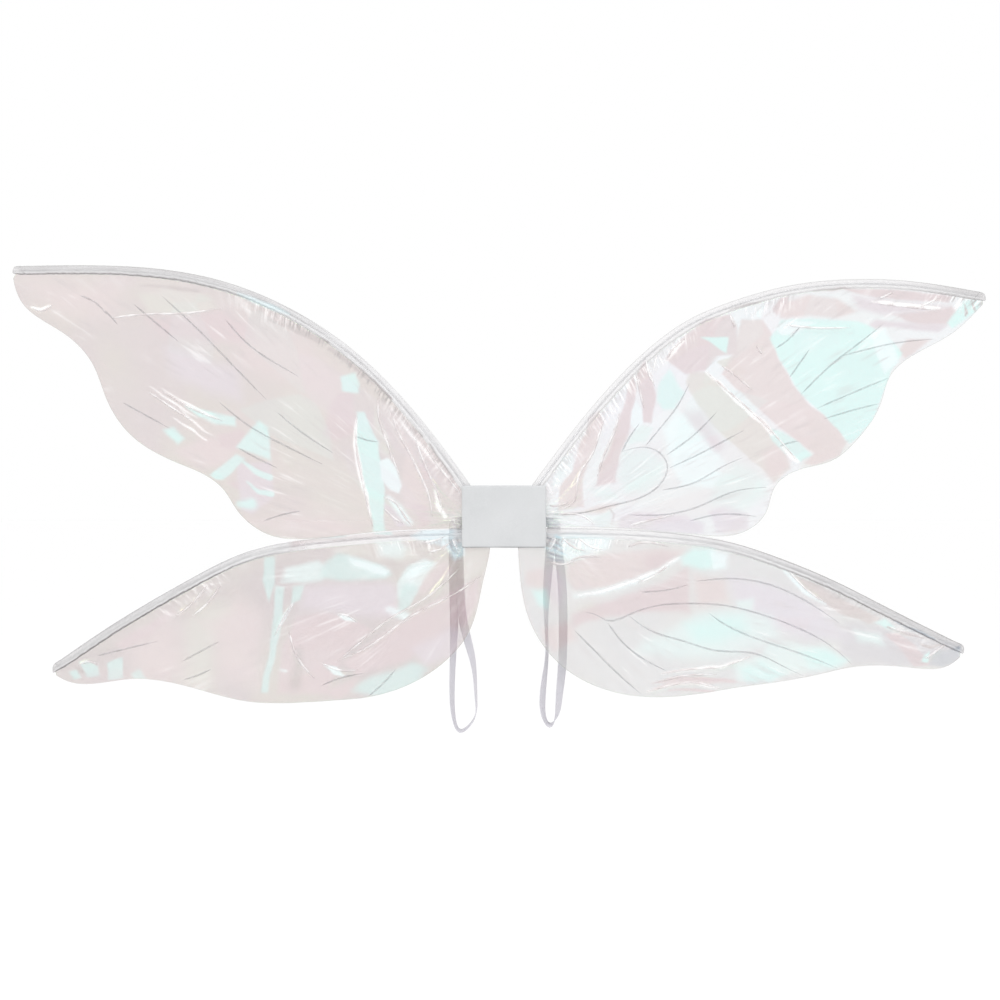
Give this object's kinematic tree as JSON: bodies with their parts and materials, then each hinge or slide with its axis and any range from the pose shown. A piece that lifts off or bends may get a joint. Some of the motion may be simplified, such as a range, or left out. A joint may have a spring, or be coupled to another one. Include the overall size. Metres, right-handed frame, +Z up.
{
  "type": "costume fairy wings",
  "caption": "Butterfly-shaped costume wings of iridescent film on bent wire, with a flat back pad and elastic arm loops.",
  "frame": {"origin": "centre of the back pad's rear face, which rests against the wearer's back", "axes": "+X along the span, +Y out of the rear face towards the wearer, +Z up; the outer face looks along -Y"},
  "size_m": [1.0986, 0.0239, 0.529],
  "materials": {
    "film": "glossy iridescent translucent film with printed veins",
    "sleeve": "glossy, several layers of welded film",
    "tip": "glossy, heat-fused film",
    "wire": "bare drawn wire",
    "cover": "smooth fine-grained foam sheet",
    "foam": "soft closed-cell foam",
    "board": "plain stiff board",
    "glue": "clear hot-melt glue",
    "elastic": "flat woven elastic band"
  },
  "bodies": {
    "back_panel": {"back_pad": "foam", "stiffener_board": "board", "cover_panel": "cover", "upper_wire_bridge": "wire", "lower_wire_bridge": "wire", "glue_beads": "glue", "left_strap_ends": "elastic", "right_strap_ends": "elastic", "upper_left_film_root": "film", "upper_right_film_root": "film", "lower_left_film_lobe": "film", "lower_right_film_lobe": "film", "upper_left_sleeve_root": "sleeve", "upper_right_sleeve_root": "sleeve", "lower_left_sleeve_root": "sleeve", "lower_right_sleeve_root": "sleeve"},
    "upper_left_wing": {"upper_left_spine": "wire", "upper_left_sleeve": "sleeve", "upper_left_tip_cap": "tip", "upper_left_film": "film"},
    "upper_right_wing": {"upper_right_spine": "wire", "upper_right_sleeve": "sleeve", "upper_right_tip_cap": "tip", "upper_right_film": "film"},
    "lower_left_wing": {"lower_left_spine": "wire", "lower_left_sleeve": "sleeve", "lower_left_tip_cap": "tip", "lower_left_film": "film"},
    "lower_right_wing": {"lower_right_spine": "wire", "lower_right_sleeve": "sleeve", "lower_right_tip_cap": "tip", "lower_right_film": "film"},
    "left_strap": {"left_arm_loop": "elastic"},
    "right_strap": {"right_arm_loop": "elastic"}
  },
  "joints": [
    {"name": "upper_left_bend", "type": "hinge", "parent": "back_panel", "child": "upper_left_wing", "pos_m": [-0.05, -0.0077, 0], "axis": [0, 0, 1], "range_deg": [-10, 85]},
    {"name": "upper_right_bend", "type": "hinge", "parent": "back_panel", "child": "upper_right_wing", "pos_m": [0.05, -0.0077, 0], "axis": [0, 0, -1], "range_deg": [-10, 85]},
    {"name": "lower_left_bend", "type": "hinge", "parent": "back_panel", "child": "lower_left_wing", "pos_m": [-0.05, -0.0077, 0], "axis": [0, 0, 1], "range_deg": [-10, 85]},
    {"name": "lower_right_bend", "type": "hinge", "parent": "back_panel", "child": "lower_right_wing", "pos_m": [0.05, -0.0077, 0], "axis": [0, 0, -1], "range_deg": [-10, 85]},
    {"name": "left_strap_swing", "type": "hinge", "parent": "back_panel", "child": "left_strap", "pos_m": [-0.056, 0.007, -0.008], "axis": [1, 0, 0], "range_deg": [0, 150]},
    {"name": "right_strap_swing", "type": "hinge", "parent": "back_panel", "child": "right_strap", "pos_m": [0.057, 0.007, -0.008], "axis": [1, 0, 0], "range_deg": [0, 150]}
  ]
}
